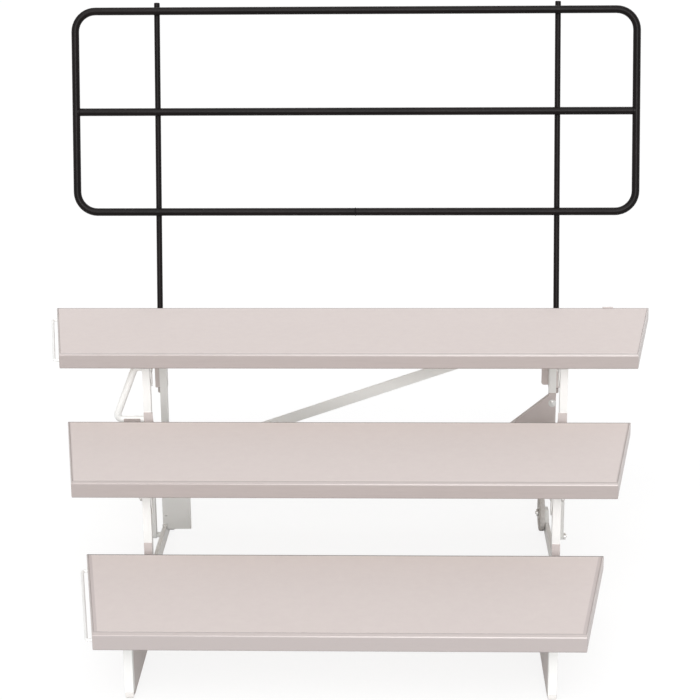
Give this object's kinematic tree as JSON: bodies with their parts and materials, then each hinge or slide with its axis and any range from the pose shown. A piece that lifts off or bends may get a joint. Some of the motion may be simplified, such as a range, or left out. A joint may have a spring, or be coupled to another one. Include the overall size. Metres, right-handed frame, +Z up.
{
  "type": "choir riser",
  "caption": "Folding tapered choir riser with stepped decks on parallel leg frames and a tubular back guard rail.",
  "frame": {"origin": "on the floor, below the middle of the whole riser's bounding box", "axes": "+X to the right of someone facing the steps, +Y towards the back and the guard rail, +Z up"},
  "size_m": [1.8432, 1.6108, 1.5259],
  "materials": {
    "deck_covering": "pale warm textured deck surface, lightly mottled",
    "deck_trim": "satin warm grey coated edge trim",
    "frame_paint": "pale grey powder coat",
    "dark_steel": "warm mid grey powder coat",
    "rail_paint": "semi-gloss black powder coat",
    "knob_plastic": "black moulded plastic",
    "foot_rubber": "dark grey rubber",
    "wheel_tyre": "dark grey solid rubber tyre",
    "wheel_hub": "pale grey moulded hub"
  },
  "bodies": {
    "front_step": {"front_deck_board": "deck_covering", "front_deck_trim": "deck_trim", "front_deck_subframe": "dark_steel", "left_front_leg": "frame_paint", "right_front_leg": "frame_paint", "left_front_glide": "foot_rubber", "right_front_glide": "foot_rubber", "front_leg_tie": "frame_paint", "left_side_panel": "dark_steel", "right_side_panel": "dark_steel", "left_floor_rail": "frame_paint", "right_floor_rail": "frame_paint", "left_floor_strip": "foot_rubber", "right_floor_strip": "foot_rubber", "front_end_bar": "frame_paint", "left_wheel_guard": "frame_paint"},
    "left_wheel": {"left_wheel_tyre": "wheel_tyre", "left_wheel_hub": "wheel_hub"},
    "right_wheel": {"right_wheel_tyre": "wheel_tyre", "right_wheel_hub": "wheel_hub"},
    "middle_leg_frame": {"left_middle_leg": "frame_paint", "right_middle_leg": "frame_paint", "middle_leg_tie": "frame_paint"},
    "middle_deck": {"middle_deck_board": "deck_covering", "middle_deck_trim": "deck_trim", "middle_deck_subframe": "dark_steel", "left_middle_front_hinge": "frame_paint", "right_middle_front_hinge": "frame_paint", "left_middle_rear_hinge": "dark_steel", "right_middle_rear_hinge": "dark_steel"},
    "top_leg_frame": {"left_top_leg": "frame_paint", "right_top_leg": "frame_paint", "top_leg_tie": "frame_paint", "left_leg_loop": "frame_paint"},
    "top_deck": {"top_deck_board": "deck_covering", "top_deck_trim": "deck_trim", "top_deck_subframe": "dark_steel", "left_top_front_hinge": "frame_paint", "right_top_front_hinge": "frame_paint", "left_top_rear_hinge": "dark_steel", "right_top_rear_hinge": "dark_steel", "top_end_bar": "frame_paint", "top_rear_catch": "dark_steel"},
    "rear_leg_frame": {"left_rear_leg": "frame_paint", "right_rear_leg": "frame_paint", "left_rear_foot": "foot_rubber", "right_rear_foot": "foot_rubber", "rear_leg_tie": "frame_paint", "rear_diagonal_brace": "frame_paint", "rear_corner_gusset": "dark_steel", "left_rail_socket": "dark_steel", "right_rail_socket": "dark_steel"},
    "level_links": {"left_level_link": "frame_paint", "right_level_link": "frame_paint"},
    "guard_rail": {"left_rail_post": "rail_paint", "right_rail_post": "rail_paint", "rail_hoop": "rail_paint", "rail_middle_bar": "rail_paint"},
    "left_knob": {"left_clamp_knob": "knob_plastic"},
    "right_knob": {"right_clamp_knob": "knob_plastic"}
  },
  "joints": [
    {"name": "riser_fold", "type": "hinge", "parent": "front_step", "child": "top_leg_frame", "pos_m": [0.02008, 0.17102, 0.022], "axis": [-1, 0, 0], "range_deg": [0, 73]},
    {"name": "middle_leg_fold", "type": "hinge", "parent": "front_step", "child": "middle_leg_frame", "pos_m": [0.02008, -0.28618, 0.022], "axis": [-1, 0, 0], "range_deg": [0, 73.5]},
    {"name": "middle_deck_level", "type": "hinge", "parent": "middle_leg_frame", "child": "middle_deck", "pos_m": [0.02008, -0.28618, 0.3414], "axis": [-1, 0, 0], "range_deg": [-73.5, 0]},
    {"name": "top_deck_level", "type": "hinge", "parent": "top_leg_frame", "child": "top_deck", "pos_m": [0.02008, 0.17102, 0.5446], "axis": [-1, 0, 0], "range_deg": [-73.5, 0]},
    {"name": "rear_leg_fold", "type": "hinge", "parent": "top_deck", "child": "rear_leg_frame", "pos_m": [0.02008, 0.52022, 0.5446], "axis": [-1, 0, 0], "range_deg": [0, 73.5]},
    {"name": "level_link_turn", "type": "hinge", "parent": "top_leg_frame", "child": "level_links", "pos_m": [0.02008, 0.17102, 0.23], "axis": [-1, 0, 0], "range_deg": [-73.5, 0]},
    {"name": "guard_rail_lift", "type": "slide", "parent": "rear_leg_frame", "child": "guard_rail", "axis": [0, 0.2079, 0.9781], "range_m": [0, 0.15]},
    {"name": "left_knob_turn", "type": "hinge", "parent": "rear_leg_frame", "child": "left_knob", "pos_m": [-0.59892, 0.56404, 0.43], "axis": [0, 0.9781, -0.2079], "range_deg": [0, 720]},
    {"name": "right_knob_turn", "type": "hinge", "parent": "rear_leg_frame", "child": "right_knob", "pos_m": [0.63908, 0.56404, 0.43], "axis": [0, 0.9781, -0.2079], "range_deg": [0, 720]},
    {"name": "left_wheel_spin", "type": "hinge", "parent": "front_step", "child": "left_wheel", "pos_m": [-0.53812, 0.26162, 0.057], "axis": [1, 0, 0], "continuous": true},
    {"name": "right_wheel_spin", "type": "hinge", "parent": "front_step", "child": "right_wheel", "pos_m": [0.57828, 0.26162, 0.057], "axis": [1, 0, 0], "continuous": true}
  ],
  "couplings": [
    {"joint": "middle_leg_fold", "follows": "riser_fold", "ratio": 1},
    {"joint": "middle_deck_level", "follows": "riser_fold", "ratio": -1},
    {"joint": "top_deck_level", "follows": "riser_fold", "ratio": -1},
    {"joint": "rear_leg_fold", "follows": "riser_fold", "ratio": 1},
    {"joint": "level_link_turn", "follows": "riser_fold", "ratio": -1}
  ]
}
